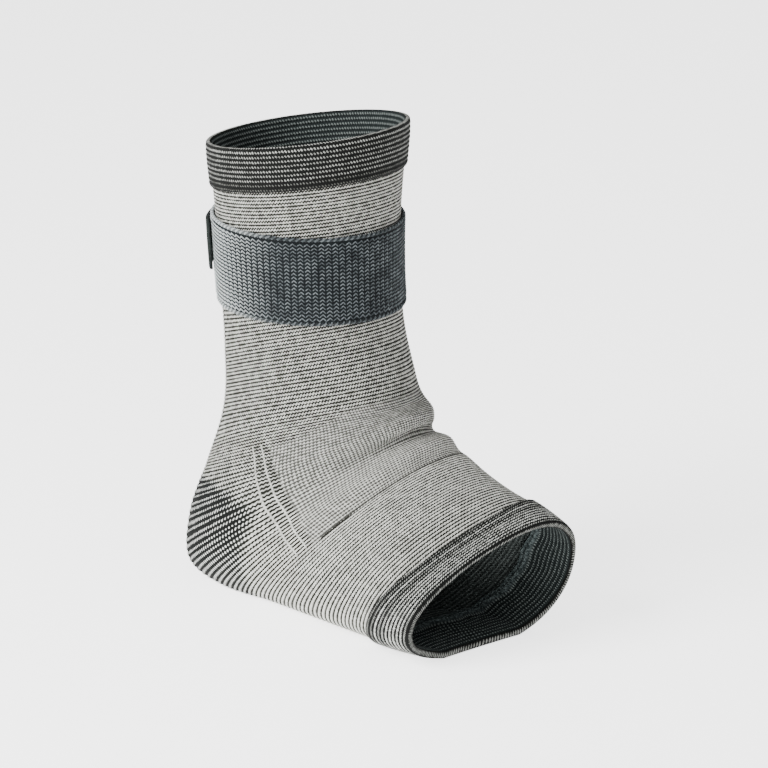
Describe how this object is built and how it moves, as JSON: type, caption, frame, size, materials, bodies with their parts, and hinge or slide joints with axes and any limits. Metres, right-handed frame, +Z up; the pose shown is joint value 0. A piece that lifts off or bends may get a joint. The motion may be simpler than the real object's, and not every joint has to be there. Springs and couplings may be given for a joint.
{
  "type": "ankle brace",
  "caption": "Knitted elastic ankle sleeve in its worn form, open at the top and the toes, with folded cuffs and a strap wound round the leg and held by a hook tab.",
  "frame": {"origin": "on the floor under the middle of the brace's outline", "axes": "+Z up along the leg, toes towards -Y, outer side of the foot towards -X, strap's free end at the back (+Y)"},
  "size_m": [0.0966, 0.1822, 0.2201],
  "materials": {
    "sleeve_knit": "light grey elastic knit with fine dark courses, matt",
    "cuff_knit": "dark grey ribbed knit with pale courses, matt",
    "strap_knit": "slate grey coarse elastic knit, matt",
    "hook_fabric": "dark hook fabric, matt"
  },
  "bodies": {
    "root": {"knit_sleeve": "sleeve_knit", "top_cuff": "cuff_knit", "toe_cuff": "cuff_knit", "wrap_strap": "strap_knit", "hook_tab": "hook_fabric"}
  },
  "joints": []
}
